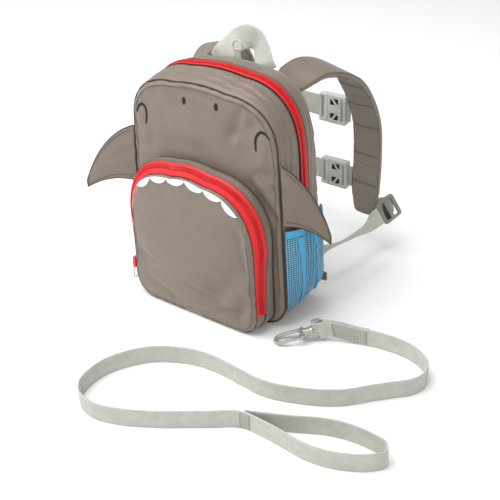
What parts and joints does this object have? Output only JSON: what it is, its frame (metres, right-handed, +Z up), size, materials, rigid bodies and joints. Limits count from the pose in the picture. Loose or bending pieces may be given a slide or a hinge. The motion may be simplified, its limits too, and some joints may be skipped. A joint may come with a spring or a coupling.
{
  "type": "toddler harness backpack",
  "caption": "Small child's backpack with a face-like front pocket, side fins, mesh side pockets, padded shoulder straps with chest buckles, and a detachable tether strap with a snap hook.",
  "frame": {"origin": "on the floor under the middle of the main compartment's base", "axes": "+Z up, -Y is the front with the pocket, +Y is the back with the straps, +X is the wearer's right"},
  "size_m": [0.4428, 0.4306, 0.288],
  "materials": {
    "body_cloth": "smooth polyester cloth",
    "webbing": "woven ribbed webbing",
    "buckles": "moulded satin plastic",
    "zipper": "woven tape with moulded teeth",
    "side_mesh": "open mesh cloth",
    "tooth_cloth": "plain white cloth"
  },
  "bodies": {
    "bag": {"front_panel": "body_cloth", "back_panel": "body_cloth", "gusset_front": "body_cloth", "gusset_back": "body_cloth", "gusset_lower": "body_cloth", "pocket_front": "body_cloth", "pocket_gusset": "body_cloth", "pocket_base": "body_cloth", "fin_left": "body_cloth", "fin_right": "body_cloth", "shoulder_strap_left": "body_cloth", "shoulder_strap_right": "body_cloth", "anchor_tab_left": "body_cloth", "anchor_tab_right": "body_cloth", "handle": "webbing", "ring_tab": "webbing", "chest_upper_left": "webbing", "chest_upper_right": "webbing", "chest_lower_left": "webbing", "chest_lower_right": "webbing", "strap_tab_left": "webbing", "strap_tab_right": "webbing", "lower_webbing_left": "webbing", "lower_webbing_right": "webbing", "tether_webbing": "webbing", "hook_fold": "webbing", "tether_ring": "buckles", "upper_socket": "buckles", "upper_plug": "buckles", "lower_socket": "buckles", "lower_plug": "buckles", "ladder_lock_left": "buckles", "ladder_lock_right": "buckles", "swivel_eye": "buckles", "main_zipper": "zipper", "main_slider": "zipper", "pocket_zipper": "zipper", "pocket_slider": "zipper", "mesh_pocket_left": "side_mesh", "mesh_pocket_right": "side_mesh", "mesh_binding_left": "side_mesh", "mesh_binding_right": "side_mesh", "tooth_1": "tooth_cloth", "tooth_2": "tooth_cloth", "tooth_3": "tooth_cloth", "tooth_4": "tooth_cloth", "tooth_5": "tooth_cloth", "tooth_6": "tooth_cloth"},
    "hook": {"snap_hook": "buckles"},
    "gate": {"hook_gate": "buckles"},
    "pull": {"pocket_pull": "zipper"}
  },
  "joints": [
    {"name": "hook_swivel", "type": "hinge", "parent": "bag", "child": "hook", "pos_m": [0.12809, -0.03831, 0.01127], "axis": [-0.7433, -0.6247, -0.2393], "continuous": true},
    {"name": "gate_hinge", "type": "hinge", "parent": "hook", "child": "gate", "pos_m": [0.12744, -0.04735, 0.00972], "axis": [0.1832, 0.154, -0.9709], "range_deg": [0, 22], "stiffness_Nm_per_rad": 0.01, "springref_deg": -17.19},
    {"name": "pull_hinge", "type": "hinge", "parent": "bag", "child": "pull", "pos_m": [-0.0904, -0.0587, 0.03042], "axis": [0, 1, 0], "range_deg": [-5, 165]}
  ]
}
